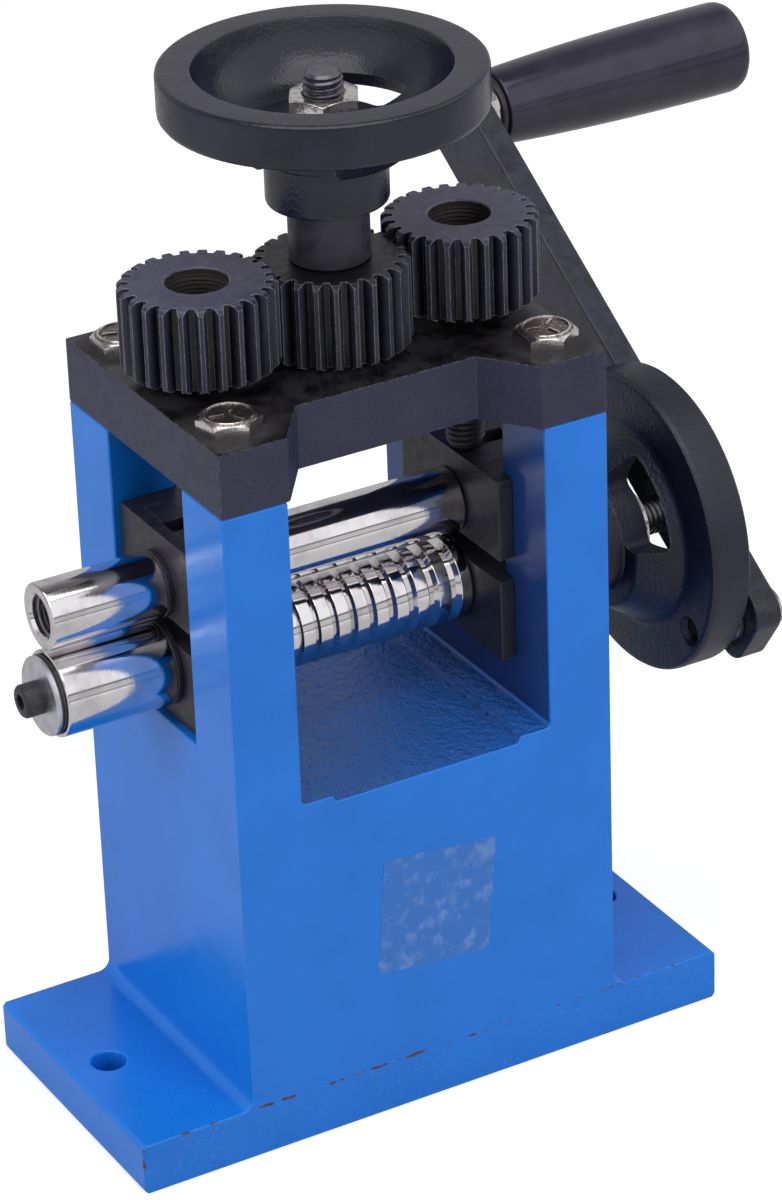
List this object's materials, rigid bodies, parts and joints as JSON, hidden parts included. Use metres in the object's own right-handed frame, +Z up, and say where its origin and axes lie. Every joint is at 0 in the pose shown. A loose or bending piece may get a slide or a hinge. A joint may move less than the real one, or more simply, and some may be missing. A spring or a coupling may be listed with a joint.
{
  "type": "jewellers rolling mill",
  "caption": "Hand cranked bench rolling mill: a plain upper roll set by geared screws under a handwheel, over a grooved lower roll on a crank.",
  "frame": {"origin": "middle of the foot's underside, where the mill stands on its bench", "axes": "+X along the rolls towards the crank, +Y from front to back, +Z up"},
  "size_m": [0.2782, 0.1611, 0.2703],
  "materials": {
    "blue_paint": "semi-gloss paint on cast iron",
    "cast_black": "dark oxide on a cast and machined surface",
    "machined_black": "black oxide on machined steel",
    "polished_steel": "ground and polished",
    "dark_steel": "oiled machined steel",
    "nickel": "bright nickel plate",
    "zinc": "dull zinc plate",
    "bronze": "machined bearing bronze",
    "black_grip": "glossy black plastic"
  },
  "bodies": {
    "frame": {"frame_casting": "blue_paint", "cap_plate": "cast_black", "cap_bolt_front_left": "nickel", "cap_bolt_front_right": "nickel", "cap_bolt_back_left": "nickel", "cap_bolt_back_right": "nickel", "lower_block_left": "machined_black", "lower_block_right": "machined_black", "lower_bush_left": "bronze", "lower_bush_right": "bronze", "spindle_bush": "bronze"},
    "drive": {"lower_roll": "polished_steel", "lower_spacer_washer": "cast_black", "lower_end_ring": "polished_steel", "ring_washer": "zinc", "ring_screw": "machined_black", "lower_pinion": "dark_steel", "lower_pinion_key": "dark_steel", "wheel_spacer": "dark_steel", "crank_wheel": "cast_black", "crank_wheel_key": "dark_steel", "crank_wheel_nut": "nickel", "crank_arm": "machined_black", "arm_washer": "zinc", "arm_nut": "nickel", "arm_spacer": "dark_steel", "arm_bolt": "nickel", "handle_spindle": "dark_steel", "handle_nut": "nickel", "handle_washer": "dark_steel", "grip_screw": "zinc"},
    "grip": {"handle_grip": "black_grip"},
    "adjuster": {"spindle": "dark_steel", "spindle_washer": "zinc", "spindle_circlip": "dark_steel", "thrust_washer": "zinc", "centre_gear": "cast_black", "centre_gear_key": "dark_steel", "spacer_sleeve": "dark_steel", "handwheel": "cast_black", "handwheel_nut": "nickel"},
    "carriage": {"upper_block_left": "machined_black", "upper_block_right": "machined_black", "upper_bush_left": "bronze", "upper_bush_right": "bronze", "screw_keeper_left": "machined_black", "screw_keeper_right": "machined_black"},
    "top_roll": {"upper_roll": "polished_steel", "upper_spacer_washer": "cast_black", "upper_end_ring": "polished_steel", "upper_pinion": "dark_steel", "upper_pinion_key": "dark_steel", "upper_circlip": "dark_steel"},
    "left_screw": {"pressure_screw_left": "dark_steel", "side_gear_left": "cast_black", "gear_key_left": "dark_steel"},
    "right_screw": {"pressure_screw_right": "dark_steel", "side_gear_right": "cast_black", "gear_key_right": "dark_steel"}
  },
  "joints": [
    {"name": "crank_spin", "type": "hinge", "parent": "frame", "child": "drive", "pos_m": [0, 0, 0.1242], "axis": [1, 0, 0], "continuous": true},
    {"name": "grip_spin", "type": "hinge", "parent": "drive", "child": "grip", "pos_m": [0.1032, 0.10714, 0.19783], "axis": [0.9999, 0.0125, 0.0086], "continuous": true},
    {"name": "handwheel_turn", "type": "hinge", "parent": "frame", "child": "adjuster", "pos_m": [0, 0, 0.2], "axis": [0, 0, 1], "range_deg": [-720, 360]},
    {"name": "upper_carriage", "type": "slide", "parent": "frame", "child": "carriage", "axis": [0, 0, 1], "range_m": [-0.0015, 0.003]},
    {"name": "left_screw_turn", "type": "hinge", "parent": "carriage", "child": "left_screw", "pos_m": [-0.0365, 0, 0.18], "axis": [0, 0, 1], "range_deg": [-360, 720]},
    {"name": "right_screw_turn", "type": "hinge", "parent": "carriage", "child": "right_screw", "pos_m": [0.0365, 0, 0.18], "axis": [0, 0, 1], "range_deg": [-360, 720]},
    {"name": "upper_roll_spin", "type": "hinge", "parent": "carriage", "child": "top_roll", "pos_m": [0, 0, 0.1458], "axis": [1, 0, 0], "continuous": true}
  ],
  "couplings": [
    {"joint": "upper_carriage", "follows": "handwheel_turn", "m_per_rad": -0.0002387},
    {"joint": "left_screw_turn", "follows": "handwheel_turn", "ratio": -1},
    {"joint": "right_screw_turn", "follows": "handwheel_turn", "ratio": -1},
    {"joint": "upper_roll_spin", "follows": "crank_spin", "ratio": -1.3}
  ]
}
